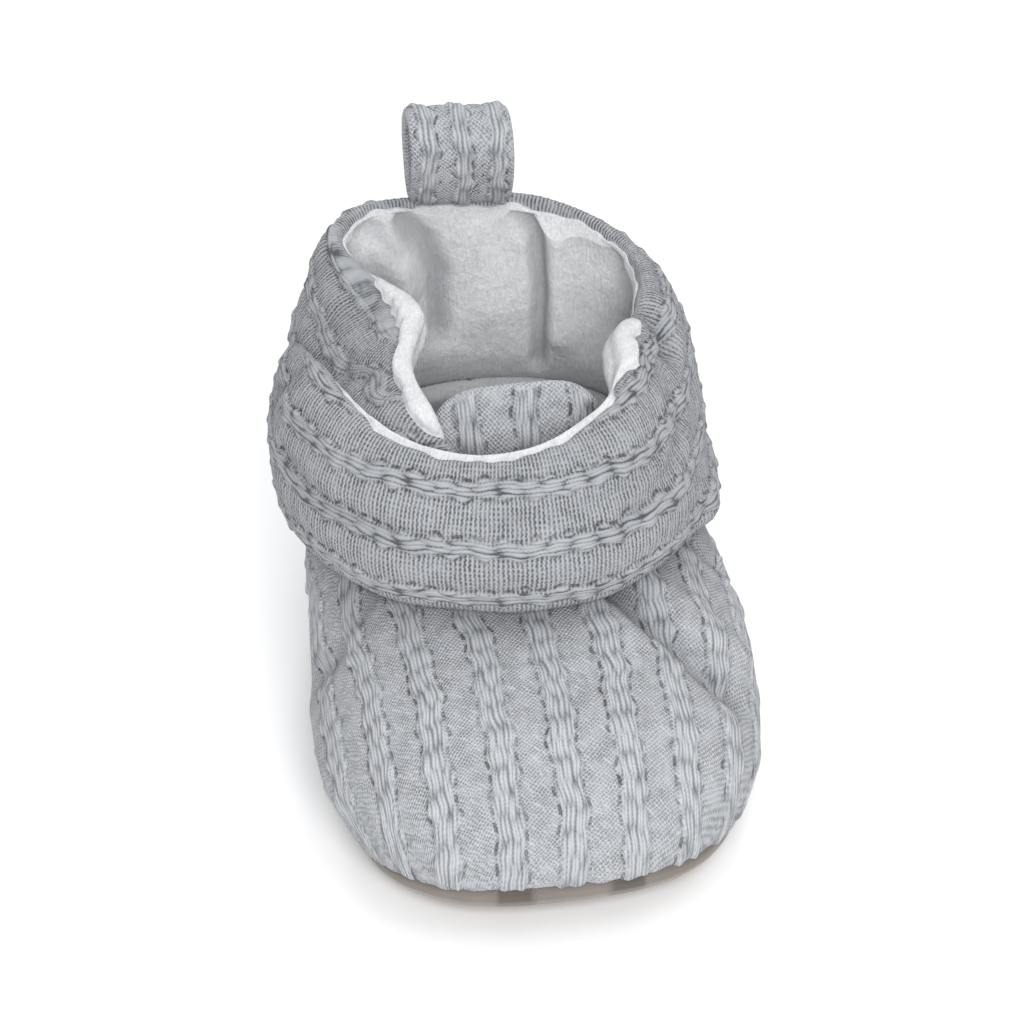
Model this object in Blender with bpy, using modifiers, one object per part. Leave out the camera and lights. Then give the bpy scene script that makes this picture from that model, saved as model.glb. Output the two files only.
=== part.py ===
"""Baby bootie slipper with a wrap-over ankle band.

Metres, +Z up. The toe points to -Y and the heel to +Y. The origin is on the floor, on the flat
underside of the sole. The pieces are the suede outsole, the padded insole, the knitted lower body,
the tongue, the ankle wrap (one band that starts at the front left, runs round the heel and crosses
the front over its own start) and the pull loop on the heel rim.
"""

import math

import bmesh
import bpy
from mathutils import Vector

MM = 0.001
GAP = 0.3 * MM

# Sole seam, where the suede sole is sewn to the body, as its reach from the origin in each
# direction seen from above: 0 is the toe, 90 is +X and 180 the heel, the same on both sides.
SEAM_COLUMNS = ("angle", "reach")
SEAM_ROWS = (
    (0, 49.0),
    (20, 49.2),
    (33, 46.4),
    (49, 39.6),
    (68, 32.4),
    (90, 28.2),
    (113, 28.8),
    (133, 34.2),
    (146, 39.9),
    (157, 43.8),
    (168, 45.6),
    (180, 46.0),
)
SEAM_HEIGHT = 5.5 * MM

# Toe spring: forward of its start the sole lifts off the floor.
TOE_SPRING = 3.5 * MM
TOE_SPRING_START_Y = -24 * MM
TOE_TIP_Y = -SEAM_ROWS[0][1] * MM

# Walls.
BODY_WALL = 3.0 * MM
SOLE_THICKNESS = 2.4 * MM
SOLE_FLAT_INSET = 8.0 * MM
INSOLE_INSET = 7.5 * MM
INSOLE_THICKNESS = 3.5 * MM
WRAP_THICKNESS = 4.4 * MM
WRAP_SETBACK = 0.5 * MM
WRAP_EDGE_TILT = 0.5 * MM
TONGUE_THICKNESS = 2.6 * MM

# Ankle: the oval that the body's top edge and the wrap follow.
ANKLE_CENTRE_Y = 15 * MM
ANKLE_HALF_WIDTH = 28.5 * MM
ANKLE_HALF_LENGTH = 30.0 * MM
ANKLE_BACK_SQUARENESS = 0.85
BODY_TOP_SIDE = 37.0 * MM
BODY_TOP_FRONT = 39.5 * MM

# The body's profile from the sole seam up to its top edge, as the handles of one cubic curve.
# A row for each direction seen from above: 0 is the toe, 90 is +X and 180 the heel.
BODY_COLUMNS = ("angle", "low_out", "low_up", "high_out", "high_up")
BODY_ROWS = (
    (-180, 6.5, 9.5, 4.5, -10.0),
    (-135, 7.0, 9.5, 4.0, -10.0),
    (-90, 7.5, 9.5, 2.5, -10.0),
    (-60, 7.0, 11.5, 5.0, -8.5),
    (-30, 8.5, 15.5, 17.0, -5.0),
    (0, 8.0, 17.0, 22.0, -3.0),
    (30, 8.5, 16.0, 19.0, -4.0),
    (60, 9.0, 13.5, 11.0, -7.5),
    (90, 8.5, 10.0, 6.0, -10.0),
    (135, 7.0, 9.5, 4.5, -10.0),
    (180, 6.5, 9.5, 4.5, -10.0),
)

# The ankle wrap, a row for each direction along it. The angle runs clockwise seen from above:
# 0 is the front, 90 the left side of a front view, 180 the heel, 270 the right side, 360 the
# front again over the band's own start, and 480 the outer end. Sizes in millimetres: lower and
# upper edge heights, how far the upper edge leans in, how far the band bellies out, and the
# layer, which is the side step that lets the outer turn lie on the inner one.
WRAP_COLUMNS = ("angle", "bottom", "top", "lean", "belly", "layer")
WRAP_ROWS = (
    (22, 41.0, 60.0, 4.0, 0.5, -2.1),
    (45, 39.0, 66.0, 6.0, 1.0, -2.1),
    (60, 38.3, 68.5, 8.0, 2.0, -2.1),
    (75, 37.8, 70.5, 11.5, 3.0, -2.1),
    (92, 37.6, 71.5, 13.5, 4.0, -2.1),
    (110, 37.6, 73.0, 10.5, 4.0, -2.0),
    (130, 37.6, 74.5, 4.0, 3.0, -1.5),
    (150, 37.6, 74.5, 1.0, 2.0, -0.6),
    (180, 37.6, 72.5, 1.0, 1.5, 0.0),
    (225, 37.6, 70.5, 3.0, 1.5, 0.0),
    (250, 37.6, 70.0, 5.0, 2.0, 0.2),
    (285, 37.8, 69.0, 8.0, 2.5, 0.7),
    (310, 38.4, 68.5, 6.0, 2.5, 1.3),
    (335, 39.4, 67.0, 6.0, 2.5, 2.0),
    (360, 39.8, 64.5, 5.5, 2.5, 2.6),
    (380, 39.3, 63.5, 5.0, 2.5, 2.6),
    (405, 38.4, 64.0, 4.5, 2.5, 2.6),
    (440, 37.0, 67.0, 4.0, 2.5, 2.6),
    (462, 37.0, 62.0, 2.0, 2.5, 2.6),
    (480, 38.0, 56.0, 1.0, 2.0, 2.6),
)

# Tongue: its root is tucked under the body's throat edge, and it leans back behind the wrap.
TONGUE_ROOT_HEIGHT = 34.3 * MM
TONGUE_ROOT_DROP = 2.2 * MM
TONGUE_TUCK = 2.0 * MM
TONGUE_SETBACK = 5.0 * MM
TONGUE_TOP = 67.5 * MM
TONGUE_SIDE_DROP = 16.0 * MM
TONGUE_LEAN = 12.6 * MM
TONGUE_SIDE_UPRIGHT = 0.6
TONGUE_HALF_ANGLE = 42

# Pull loop, a folded strap that stands on the heel rim.
LOOP_WIDTH = 16.5 * MM
LOOP_HEIGHT = 17.0 * MM
LOOP_DEPTH = 12.8 * MM
LOOP_STRAP = 2.4 * MM
LOOP_FOOT_SHARE = 0.55
LOOP_DIRECTION = 182

# Facets.
AROUND = 64
SOLE_EDGE_STEPS = (0.0, 0.25, 0.48, 0.7, 0.9, 1.0)
BODY_STEPS = (0.0, 0.04, 0.14, 0.25, 0.36, 0.47, 0.58, 0.69, 0.8, 0.9, 1.0)
WRAP_STEP_DEGREES = 6
WRAP_STEPS = 7
TONGUE_STEPS_ACROSS = 12
TONGUE_STEPS_UP = 10
LOOP_STEPS_ROUND = 24
LOOP_STEPS_ACROSS = 4

FABRIC_GREY = (0.44, 0.46, 0.49, 1.0)
LINING_WHITE = (0.78, 0.80, 0.83, 1.0)
SUEDE_TAUPE = (0.27, 0.23, 0.20, 1.0)


def read_rows(rows, columns, angle):
    """The row of a table at an angle, on a smooth curve through the rows, with sizes in metres."""
    last = len(rows) - 1
    angle = min(rows[last][0], max(rows[0][0], angle))
    i = 0
    while i < last - 1 and angle > rows[i + 1][0]:
        i += 1
    span = rows[i + 1][0] - rows[i][0]
    t = (angle - rows[i][0]) / span
    sizes = {}
    for column in range(1, len(columns)):
        low, high = rows[i][column], rows[i + 1][column]
        slopes = []
        for k in (i, i + 1):
            if k == 0 or k == last:
                slopes.append(0.0)
            else:
                rise = rows[k + 1][column] - rows[k - 1][column]
                slopes.append(rise / (rows[k + 1][0] - rows[k - 1][0]))
        value = low * (1 + 2 * t) * (1 - t) ** 2 + high * (3 - 2 * t) * t * t
        value += span * (slopes[0] * t * (1 - t) ** 2 - slopes[1] * (1 - t) * t * t)
        sizes[columns[column]] = value * MM
    return sizes


def cubic(ends, t):
    """A point of the cubic curve with these four control points."""
    a, b, c, d = ends
    s = 1 - t
    return a * s**3 + b * (3 * s * s * t) + c * (3 * s * t * t) + d * t**3


def toe_lift(y):
    """How far toe spring lifts the sole at this place along it."""
    share = (TOE_SPRING_START_Y - y) / (TOE_SPRING_START_Y - TOE_TIP_Y)
    return TOE_SPRING * max(0.0, share) ** 1.6


def signed(degrees):
    """The same direction between -180 and 180."""
    return (degrees + 180) % 360 - 180


def seam_plan(degrees):
    """The sole seam seen from above: 0 is the toe, 90 is +X and 180 is the heel."""
    reach = read_rows(SEAM_ROWS, SEAM_COLUMNS, abs(signed(degrees)))["reach"]
    a = math.radians(degrees)
    return Vector((reach * math.sin(a), -reach * math.cos(a), 0))


def seam_outward(degrees):
    """Unit vector square to the sole seam, seen from above."""
    along = seam_plan(degrees + 0.5) - seam_plan(degrees - 0.5)
    return Vector((along.y, -along.x, 0)).normalized()


def ankle_plan(degrees):
    """The ankle oval seen from above, with 0 at the front and 90 at +X."""
    s = math.sin(math.radians(degrees))
    c = math.cos(math.radians(degrees))
    squareness = 1.0 if c > 0 else ANKLE_BACK_SQUARENESS
    x = ANKLE_HALF_WIDTH * math.copysign(abs(s) ** squareness, s)
    y = ANKLE_CENTRE_Y - ANKLE_HALF_LENGTH * math.copysign(abs(c) ** squareness, c)
    return Vector((x, y, 0))


def ankle_outward(degrees):
    """Unit vector square to the ankle oval, seen from above."""
    along = ankle_plan(degrees + 1) - ankle_plan(degrees - 1)
    return Vector((along.y, -along.x, 0)).normalized()


def body_handles(degrees):
    """The four control points of the body's outer profile in this direction."""
    row = read_rows(BODY_ROWS, BODY_COLUMNS, signed(degrees))
    up = Vector((0, 0, 1))
    seam = seam_plan(degrees)
    seam.z = SEAM_HEIGHT + toe_lift(seam.y)
    top = ankle_plan(degrees)
    front = max(0.0, math.cos(math.radians(degrees)))
    top.z = BODY_TOP_SIDE + (BODY_TOP_FRONT - BODY_TOP_SIDE) * front
    low = seam + seam_outward(degrees) * row["low_out"] + up * row["low_up"]
    high = top + ankle_outward(degrees) * row["high_out"] + up * row["high_up"]
    return seam, low, high, top


def body_point(degrees, t):
    """The body's outer surface: t is 0 at the sole seam and 1 at the top edge."""
    return cubic(body_handles(degrees), t)


def surface(name, rows, material, around=False, floor=False):
    """An open surface through rows of points. It can run round to its start and have a floor."""
    mesh = bmesh.new()
    made = [[mesh.verts.new(point) for point in row] for row in rows]
    count = len(rows[0])
    steps = count if around else count - 1
    for first, second in zip(made, made[1:]):
        for i in range(steps):
            j = (i + 1) % count
            mesh.faces.new((first[i], first[j], second[j], second[i]))
    if floor:
        mesh.faces.new(made[0][::-1])
    data = bpy.data.meshes.new(name)
    mesh.to_mesh(data)
    mesh.free()
    data.shade_smooth()
    data.materials.append(material)
    piece = bpy.data.objects.new(name, data)
    parts.objects.link(piece)
    return piece


def add_wall(piece, thickness, offset):
    """Give the surface a wall, on its inner side with an offset of -1 or on both sides with 0."""
    wall = piece.modifiers.new("wall", "SOLIDIFY")
    wall.thickness = thickness
    wall.offset = offset
    wall.use_even_offset = True


def round_edges(piece, radius, segments):
    """Round the wall's edges."""
    edges = piece.modifiers.new("edges", "BEVEL")
    edges.width = radius
    edges.segments = segments
    edges.limit_method = "ANGLE"
    edges.angle_limit = math.radians(50)


def make_outsole(material):
    """The suede sole: flat underneath, turned up at the edge to meet the body's wall."""
    angles = [360 * i / AROUND for i in range(AROUND)]
    rows = []
    for scale in (0.45, 0.8):
        row = []
        for a in angles:
            edge = (seam_plan(a) - seam_outward(a) * SOLE_FLAT_INSET) * scale
            edge.z = toe_lift(edge.y)
            row.append(edge)
        rows.append(row)
    for t in SOLE_EDGE_STEPS:
        row = []
        for a in angles:
            seam, low, _, _ = body_handles(a)
            out = seam_outward(a)
            run = (low - seam).normalized()
            flat = seam_plan(a) - out * SOLE_FLAT_INSET
            flat.z = toe_lift(flat.y)
            end = seam - run * (GAP / 2)
            curve = (flat, flat + out * SOLE_FLAT_INSET * 0.55, end - run * SEAM_HEIGHT * 0.55, end)
            row.append(cubic(curve, t))
        rows.append(row)
    piece = surface("outsole", rows, material, around=True, floor=True)
    add_wall(piece, SOLE_THICKNESS, -1)


def make_insole(material):
    """The padded footbed inside the sole's rim."""
    rows = []
    for scale in (0.6, 1.0):
        row = []
        for i in range(AROUND // 2):
            a = 720 * i / AROUND
            edge = (seam_plan(a) - seam_outward(a) * INSOLE_INSET) * scale
            edge.z = SOLE_THICKNESS + GAP + toe_lift(edge.y)
            row.append(edge)
        rows.append(row)
    piece = surface("insole", rows, material, around=True, floor=True)
    add_wall(piece, INSOLE_THICKNESS, -1)
    round_edges(piece, 1.0 * MM, 2)


def make_upper(material):
    """The lower body as one hollow wall, open at the ankle and closed underneath by the sole."""
    angles = [360 * i / AROUND for i in range(AROUND)]
    rows = []
    for t in BODY_STEPS:
        row = []
        for a in angles:
            point = body_point(a, t)
            if t == 0:
                seam, low, _, _ = body_handles(a)
                point = point + (low - seam).normalized() * (GAP / 2)
            row.append(point)
        rows.append(row)
    piece = surface("upper", rows, material, around=True)
    add_wall(piece, BODY_WALL, -1)


def wrap_point(angle, t):
    """The middle of the ankle wrap's thickness at this angle along it, from bottom to top."""
    row = read_rows(WRAP_ROWS, WRAP_COLUMNS, angle)
    place = ankle_plan(-angle)
    out = ankle_outward(-angle)
    low = row["bottom"] + WRAP_EDGE_TILT
    tall = row["top"] - WRAP_EDGE_TILT - low
    up = Vector((0, 0, 1))
    base = place + out * (WRAP_SETBACK + row["layer"]) + up * low
    line = (
        base,
        base + out * row["belly"] * 1.8 + up * tall * 0.3,
        base + out * (row["belly"] * 0.9 - row["lean"] * 0.15) + up * tall * 0.95,
        base - out * row["lean"] + up * tall,
    )
    return cubic(line, t)


def make_ankle_wrap(material):
    """The wrap band, one strip that overlaps its own start at the front left."""
    start, end = WRAP_ROWS[0][0], WRAP_ROWS[-1][0]
    count = round((end - start) / WRAP_STEP_DEGREES)
    angles = [start + (end - start) * i / count for i in range(count + 1)]
    rows = [[wrap_point(a, k / WRAP_STEPS) for a in angles] for k in range(WRAP_STEPS + 1)]
    piece = surface("ankle_wrap", rows, material)
    add_wall(piece, WRAP_THICKNESS, 0)
    round_edges(piece, WRAP_THICKNESS * 0.45, 3)


def tongue_point(share, t):
    """The middle of the tongue: share runs from -1 to 1 across it and t from root to top."""
    angle = TONGUE_HALF_ANGLE * share
    place = ankle_plan(angle)
    out = ankle_outward(angle)
    back = Vector((0, TONGUE_LEAN, 0))
    up = Vector((0, 0, 1))
    root = TONGUE_ROOT_HEIGHT - TONGUE_ROOT_DROP * share**2
    tall = TONGUE_TOP - TONGUE_SIDE_DROP * abs(share) ** 3.5 - root
    lean = tall / (TONGUE_TOP - TONGUE_ROOT_HEIGHT) * (1 - TONGUE_SIDE_UPRIGHT * share**2)
    line = (
        place + out * TONGUE_TUCK + up * root,
        place - out * TONGUE_SETBACK * 1.8 + up * (root - 0.8 * MM),
        place - out * TONGUE_SETBACK + back * lean * 0.3 + up * (root + 0.62 * tall),
        place - out * TONGUE_SETBACK + back * lean + up * (root + tall),
    )
    return cubic(line, t)


def make_tongue(material):
    """The tongue, rooted under the body's throat edge and leaning back behind the wrap."""
    shares = [2 * k / TONGUE_STEPS_ACROSS - 1 for k in range(TONGUE_STEPS_ACROSS + 1)]
    rows = []
    for step in range(TONGUE_STEPS_UP + 1):
        rows.append([tongue_point(share, step / TONGUE_STEPS_UP) for share in shares])
    piece = surface("tongue", rows, material)
    add_wall(piece, TONGUE_THICKNESS, 0)
    round_edges(piece, TONGUE_THICKNESS * 0.42, 2)


def rim_point(degrees):
    """The middle of the wrap's top edge in this direction, a seam's gap above it."""
    row = read_rows(WRAP_ROWS, WRAP_COLUMNS, 360 - degrees)
    shift = WRAP_SETBACK + row["layer"] - row["lean"]
    rim = ankle_plan(degrees) + ankle_outward(degrees) * shift
    rim.z = row["top"] + GAP
    return rim


def make_pull_loop(material):
    """The pull loop: a strap folded over into a tall ring that stands on the heel rim."""
    out = ankle_outward(LOOP_DIRECTION)
    along = Vector((-out.y, out.x, 0))
    foot = rim_point(LOOP_DIRECTION)
    half_share = LOOP_WIDTH / 2 / ANKLE_HALF_WIDTH
    half_angle = math.degrees(math.asin(half_share ** (1 / ANKLE_BACK_SQUARENESS)))
    rows = []
    for k in range(LOOP_STEPS_ACROSS + 1):
        share = 2 * k / LOOP_STEPS_ACROSS - 1
        base = foot + along * (LOOP_WIDTH / 2 * share)
        base.z = rim_point(LOOP_DIRECTION + half_angle * share).z
        row = []
        for step in range(LOOP_STEPS_ROUND):
            turn = 2 * math.pi * step / LOOP_STEPS_ROUND
            rise = (1 - math.cos(turn)) / 2
            narrow = LOOP_FOOT_SHARE + (1 - LOOP_FOOT_SHARE) * rise
            depth = (LOOP_DEPTH - LOOP_STRAP) / 2 * math.sin(turn) * narrow
            height = LOOP_STRAP / 2 + (LOOP_HEIGHT - LOOP_STRAP) * rise
            row.append(base + out * depth + Vector((0, 0, height)))
        rows.append(row)
    piece = surface("pull_loop", rows, material, around=True)
    add_wall(piece, LOOP_STRAP, 0)
    round_edges(piece, 0.5 * MM, 2)


def finish(name, colour, roughness):
    """A plain material with this colour and roughness."""
    material = bpy.data.materials.new(name)
    material.use_nodes = True
    shader = material.node_tree.nodes["Principled BSDF"]
    shader.inputs["Base Color"].default_value = colour
    shader.inputs["Roughness"].default_value = roughness
    shader.inputs["Metallic"].default_value = 0.0
    return material


for leftover in list(bpy.data.objects):
    bpy.data.objects.remove(leftover)

parts = bpy.data.collections.new("bootie_slipper")
bpy.context.scene.collection.children.link(parts)

make_outsole(finish("sole_suede", SUEDE_TAUPE, 0.95))
make_insole(finish("footbed_lining", LINING_WHITE, 0.95))
make_upper(finish("body_knit", FABRIC_GREY, 0.9))
make_tongue(finish("tongue_knit", FABRIC_GREY, 0.9))
make_ankle_wrap(finish("wrap_knit", FABRIC_GREY, 0.9))
make_pull_loop(finish("loop_knit", FABRIC_GREY, 0.9))
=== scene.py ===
import math

import bmesh
import bpy
import numpy as np
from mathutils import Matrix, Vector


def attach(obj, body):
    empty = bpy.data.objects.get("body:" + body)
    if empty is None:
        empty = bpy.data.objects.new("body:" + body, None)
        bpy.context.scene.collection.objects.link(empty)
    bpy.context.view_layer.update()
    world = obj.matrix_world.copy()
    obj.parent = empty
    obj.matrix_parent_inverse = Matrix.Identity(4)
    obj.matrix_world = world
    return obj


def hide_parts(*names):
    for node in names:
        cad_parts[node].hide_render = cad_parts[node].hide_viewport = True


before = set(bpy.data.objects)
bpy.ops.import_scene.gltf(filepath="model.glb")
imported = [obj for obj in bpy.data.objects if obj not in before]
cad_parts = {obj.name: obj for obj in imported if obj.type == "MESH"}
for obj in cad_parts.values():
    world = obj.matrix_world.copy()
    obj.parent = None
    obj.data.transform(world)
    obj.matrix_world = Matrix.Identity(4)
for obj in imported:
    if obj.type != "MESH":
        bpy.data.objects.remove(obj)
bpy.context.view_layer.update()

# Metres, +Z up, toe to -Y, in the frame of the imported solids. The tables and sizes down to the
# pull loop are the ones that the solids are made from, so each piece keeps its solid's form.
MM = 0.001

SEAM_COLUMNS = ("angle", "reach")
SEAM_ROWS = (
    (0, 49.0), (20, 49.2), (33, 46.4), (49, 39.6), (68, 32.4), (90, 28.2),
    (113, 28.8), (133, 34.2), (146, 39.9), (157, 43.8), (168, 45.6), (180, 46.0),
)
SEAM_HEIGHT = 5.5 * MM
TOE_SPRING = 3.5 * MM
TOE_SPRING_START_Y = -24 * MM
TOE_TIP_Y = -49 * MM

BODY_WALL = 3.0 * MM
SOLE_THICKNESS = 2.4 * MM
SOLE_FLAT_INSET = 8.0 * MM
INSOLE_INSET = 7.5 * MM
INSOLE_THICKNESS = 3.5 * MM
GAP = 0.3 * MM
WRAP_THICKNESS = 4.4 * MM
WRAP_SETBACK = 0.5 * MM
WRAP_EDGE_TILT = 0.5 * MM
TONGUE_THICKNESS = 2.6 * MM

ANKLE_CENTRE_Y = 15 * MM
ANKLE_HALF_WIDTH = 28.5 * MM
ANKLE_HALF_LENGTH = 30.0 * MM
ANKLE_BACK_SQUARENESS = 0.85
BODY_TOP_SIDE = 37.0 * MM
BODY_TOP_FRONT = 39.5 * MM

BODY_COLUMNS = ("angle", "low_out", "low_up", "high_out", "high_up")
BODY_ROWS = (
    (-180, 6.5, 9.5, 4.5, -10.0),
    (-135, 7.0, 9.5, 4.0, -10.0),
    (-90, 7.5, 9.5, 2.5, -10.0),
    (-60, 7.0, 11.5, 5.0, -8.5),
    (-30, 8.5, 15.5, 17.0, -5.0),
    (0, 8.0, 17.0, 22.0, -3.0),
    (30, 8.5, 16.0, 19.0, -4.0),
    (60, 9.0, 13.5, 11.0, -7.5),
    (90, 8.5, 10.0, 6.0, -10.0),
    (135, 7.0, 9.5, 4.5, -10.0),
    (180, 6.5, 9.5, 4.5, -10.0),
)

WRAP_COLUMNS = ("angle", "bottom", "top", "lean", "belly", "layer")
WRAP_ROWS = (
    (22, 41.0, 60.0, 4.0, 0.5, -2.1),
    (45, 39.0, 66.0, 6.0, 1.0, -2.1),
    (60, 38.3, 68.5, 8.0, 2.0, -2.1),
    (75, 37.8, 70.5, 11.5, 3.0, -2.1),
    (92, 37.6, 71.5, 13.5, 4.0, -2.1),
    (110, 37.6, 73.0, 10.5, 4.0, -2.0),
    (130, 37.6, 74.5, 4.0, 3.0, -1.5),
    (150, 37.6, 74.5, 1.0, 2.0, -0.6),
    (180, 37.6, 72.5, 1.0, 1.5, 0.0),
    (225, 37.6, 70.5, 3.0, 1.5, 0.0),
    (250, 37.6, 70.0, 5.0, 2.0, 0.2),
    (285, 37.8, 69.0, 8.0, 2.5, 0.7),
    (310, 38.4, 68.5, 6.0, 2.5, 1.3),
    (335, 39.4, 67.0, 6.0, 2.5, 2.0),
    (360, 39.8, 64.5, 5.5, 2.5, 2.6),
    (380, 39.3, 63.5, 5.0, 2.5, 2.6),
    (405, 38.4, 64.0, 4.5, 2.5, 2.6),
    (440, 37.0, 67.0, 4.0, 2.5, 2.6),
    (462, 37.0, 62.0, 2.0, 2.5, 2.6),
    (480, 38.0, 56.0, 1.0, 2.0, 2.6),
)

# Soft shifts of the wrap in the photograph, a row for each angle along it: how far its top edge and
# its middle move inwards and how far its lower edge reaches down over the body's top.
SLUMP_COLUMNS = ("angle", "top_in", "middle_in", "down")
SLUMP_ROWS = (
    (22, 0.0, 0.0, 0.0),
    (60, 1.2, 0.3, 0.8),
    (85, 1.8, 0.0, 1.0),
    (108, -1.2, -0.8, 1.0),
    (126, -3.2, -2.0, 1.0),
    (142, -2.0, -1.2, 1.0),
    (165, 0.0, 0.0, 1.0),
    (250, 0.0, 0.6, 1.0),
    (275, 2.0, 2.4, 1.0),
    (297, 5.0, 3.0, 0.8),
    (315, 3.4, 1.2, 0.4),
    (335, 0.6, 0.0, 0.0),
    (480, 0.0, 0.0, 0.0),
)

TONGUE_ROOT_HEIGHT = 34.3 * MM
TONGUE_ROOT_DROP = 2.2 * MM
TONGUE_TUCK = 2.0 * MM
TONGUE_SETBACK = 5.0 * MM
TONGUE_TOP = 66.5 * MM
TONGUE_SIDE_DROP = 11.5 * MM
TONGUE_LEAN = 12.6 * MM
TONGUE_SIDE_UPRIGHT = 0.6
TONGUE_HALF_ANGLE = 42

LOOP_WIDTH = 16.5 * MM
LOOP_HEIGHT = 17.0 * MM
LOOP_DEPTH = 12.8 * MM
LOOP_STRAP = 2.4 * MM
LOOP_FOOT_SHARE = 0.55
LOOP_DIRECTION = 182

# The knit of each piece, in millimetres: from rib to rib, half a rib's width, from knot to knot along
# a rib's edge, and 1 or -1 for the edge of a rib that has the stronger holes.
BODY_KNIT = (9.5, 1.85, 7.0, 1)
WRAP_KNIT = (8.4, 1.15, 5.2, -1)
TONGUE_KNIT = (8.6, 1.6, 7.0, 1)
LOOP_KNIT = (5.6, 1.1, 5.0, 1)

# Sizes that every knit shares, in millimetres.
RIB_HEIGHT = 0.5
KNOT_WIDTH = 0.62
KNOT_HEIGHT = 0.22
HOLE_STEP = 2.6
HOLE_OFFSET = 0.38
HOLE_DEPTH = 0.45
PILLOW_HEIGHT = 0.16

# Heights of the wrap's ribs above its lower edge, in millimetres.
WRAP_RIBS = (4.6, 12.4, 20.6, 29.0)

# Stretches of the wrap as start, rise, end and fall, in degrees along it: its first end, the corner
# at the other side of the opening, the strap over the front and the back wall.
FLAP = (30, 14, 118, 22)
CORNER = (276, 10, 326, 22)
STRAP = (318, 12, 440, 30)
BACK_WALL = (105, 30, 255, 30)

# Where the wrap's knit ends past the outer end of its top edge's turn, in millimetres, how much
# sooner where the lining is rolled outwards, and how far it swells there. The strap rolls less.
KNIT_END = 2.9
KNIT_END_ROLLED = 4.2
ROLL_SWELL = 1.5
STRAP_ROLL = 0.45
TONGUE_KNIT_END = 3.0 * MM

# The body's seam with the sole: its groove, the swell above it and its puckers, and the heel seam.
SEAM_GROOVE = 0.75 * MM
SEAM_SWELL = 0.2 * MM
SEAM_PUCKER = 0.16 * MM
SEAM_PUCKER_STEP = 4.2 * MM
HEEL_SEAM_DEPTH = 0.5 * MM
HEEL_SEAM_WIDTH = 0.55 * MM

# Soft painted shade, darker for each millimetre of a fold's depth, and a soft painted shadow under
# the wrap's lower edge.
KNIT_FOLD_SHADE = 0.15
LINING_FOLD_SHADE = 0.26
UNDER_WRAP_SHADE = 0.4
UNDER_WRAP_REACH = 15 * MM

# The gap between the footbed and the body's lining.
FOOTBED_CLEAR = 0.4 * MM

# Mesh steps. Those of a band are its rows on the knit, over the top edge, down the lining and round
# the lower edge.
BODY_AROUND = 600
BODY_UP = 118
LINING_STEPS = 24
CAP_STEPS = 7
WRAP_ALONG = 620
WRAP_STEPS = (88, 22, 34, 6)
TONGUE_ACROSS = 150
TONGUE_STEPS = (96, 12, 34, 6)
LOOP_AROUND = 200
LOOP_ACROSS = 64
BAND_SAMPLES = 24
SOLE_AROUND = 420
SOLE_FLAT_ROWS = 42
SOLE_TURN_ROWS = 30
FOOTBED_AROUND = 220
FOOTBED_LOW_ROWS = 26
FOOTBED_TOP_ROWS = 44

# The places of a piece's materials.
KNIT = 0
LINING = 1


def read_rows(rows, columns, angles):
    """The rows of a table at these angles, on smooth curves through the rows, with sizes in metres."""
    table = np.array(rows, float)
    places = table[:, 0]
    angles = np.clip(np.asarray(angles, float), places[0], places[-1])
    before = np.clip(np.searchsorted(places, angles) - 1, 0, len(places) - 2)
    span = places[before + 1] - places[before]
    share = (angles - places[before]) / span
    rest = 1 - share
    sizes = {}
    for column in range(1, len(columns)):
        values = table[:, column]
        slopes = np.zeros(len(values))
        slopes[1:-1] = (values[2:] - values[:-2]) / (places[2:] - places[:-2])
        value = values[before] * (1 + 2 * share) * rest**2
        value += values[before + 1] * (3 - 2 * share) * share**2
        value += span * share * rest * (slopes[before] * rest - slopes[before + 1] * share)
        sizes[columns[column]] = value * MM
    return sizes


def cubic(ends, share):
    """Points of cubic curves with these four control points each."""
    first, second, third, last = ends
    share = np.asarray(share, float)[..., None]
    rest = 1 - share
    bend = second * (3 * rest * rest * share) + third * (3 * rest * share * share)
    return first * rest**3 + bend + last * share**3


def curve_grid(handles, shares):
    """Points of these curves, with a column for each curve and rows at these shares of them."""
    return cubic([h[None] for h in handles], shares)


def unit(vectors):
    """The vectors at length one."""
    return vectors / np.maximum(np.linalg.norm(vectors, axis=-1, keepdims=True), 1e-12)


def scaled(vectors, sizes):
    """Each vector times its own size."""
    return vectors * np.asarray(sizes)[..., None]


def smooth(x):
    """A soft step from 0 to 1 as x goes from 0 to 1."""
    x = np.clip(x, 0, 1)
    return x * x * (3 - 2 * x)


def bell(x, width):
    """1 at zero, falling softly to 0 at about twice the width."""
    return np.exp(-((x / width) ** 2))


def stretch(angles, start, rise, end, fall):
    """1 on a stretch of the band and 0 elsewhere, with soft ends."""
    return smooth((angles - start) / rise) * smooth((end - angles) / fall)


def flat(x, y, z=0.0):
    """Points with these coordinates."""
    return np.stack(np.broadcast_arrays(x, y, z), axis=-1).astype(float)


def toe_lift(y):
    """How far toe spring lifts the sole at this place along it."""
    share = (TOE_SPRING_START_Y - y) / (TOE_SPRING_START_Y - TOE_TIP_Y)
    return TOE_SPRING * np.maximum(0.0, share) ** 1.6


def signed(degrees):
    """The same directions between -180 and 180."""
    return (np.asarray(degrees, float) + 180) % 360 - 180


def seam_plan(degrees):
    """The sole seam seen from above: 0 is the toe, 90 is +X and 180 is the heel."""
    reach = read_rows(SEAM_ROWS, SEAM_COLUMNS, np.abs(signed(degrees)))["reach"]
    turn = np.radians(degrees)
    return flat(reach * np.sin(turn), -reach * np.cos(turn))


def square_to(plan, degrees, step):
    """Unit vectors square to a plan curve."""
    along = plan(degrees + step) - plan(degrees - step)
    return unit(flat(along[..., 1], -along[..., 0]))


def seam_outward(degrees):
    """Unit vectors square to the sole seam, seen from above."""
    return square_to(seam_plan, degrees, 0.5)


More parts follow.
